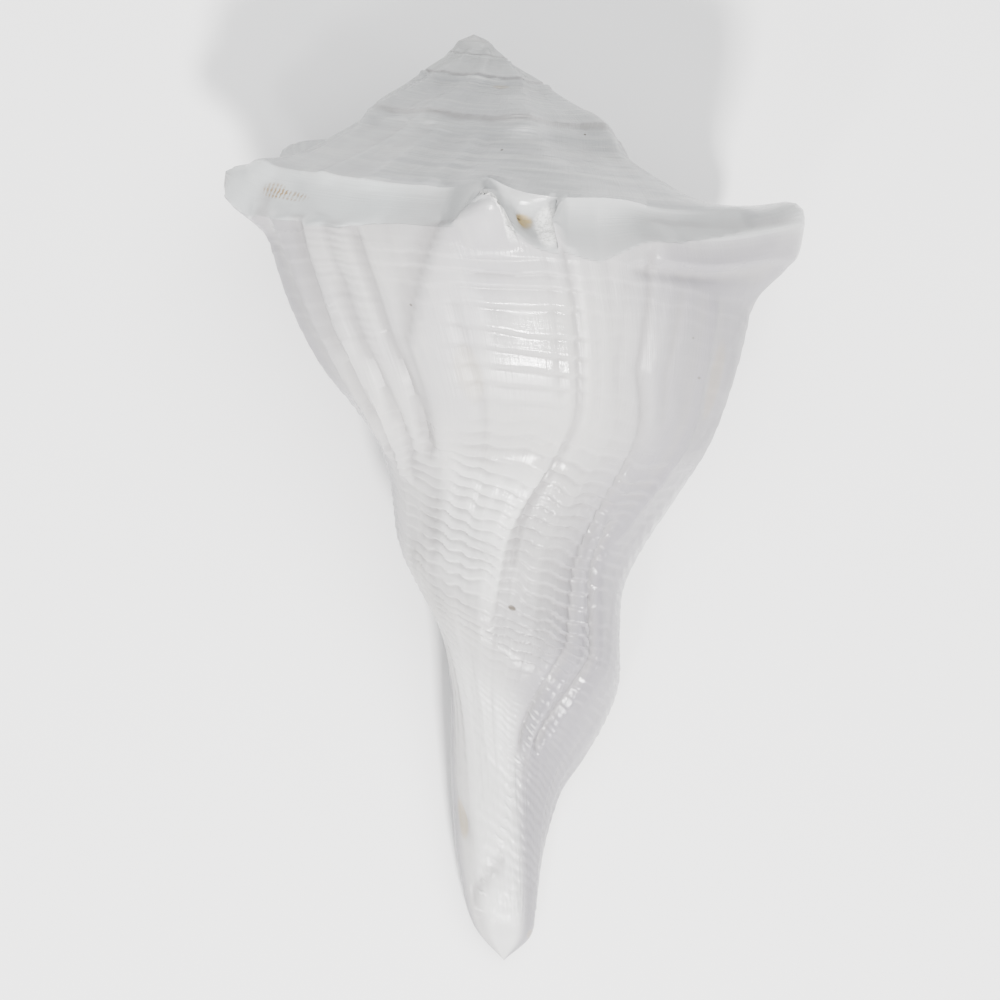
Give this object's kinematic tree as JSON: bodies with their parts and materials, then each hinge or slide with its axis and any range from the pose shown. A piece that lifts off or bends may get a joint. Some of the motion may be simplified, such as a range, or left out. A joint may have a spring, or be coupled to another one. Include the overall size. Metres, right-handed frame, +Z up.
{
  "type": "conch shell",
  "caption": "White polished left-handed conch shell of the knobbed whelk kind, lying on its open side; a loose ornament.",
  "frame": {"origin": "centre of the bounding box, on the surface that the shell lies on", "axes": "+Z up, +Y from the canal tip toward the apex, +X to the lip side"},
  "size_m": [0.101, 0.1606, 0.081],
  "materials": {
    "shell": "polished, off-white with lavender-grey shade and faint cords and growth lines"
  },
  "bodies": {
    "root": {"shell": "shell"}
  },
  "joints": []
}
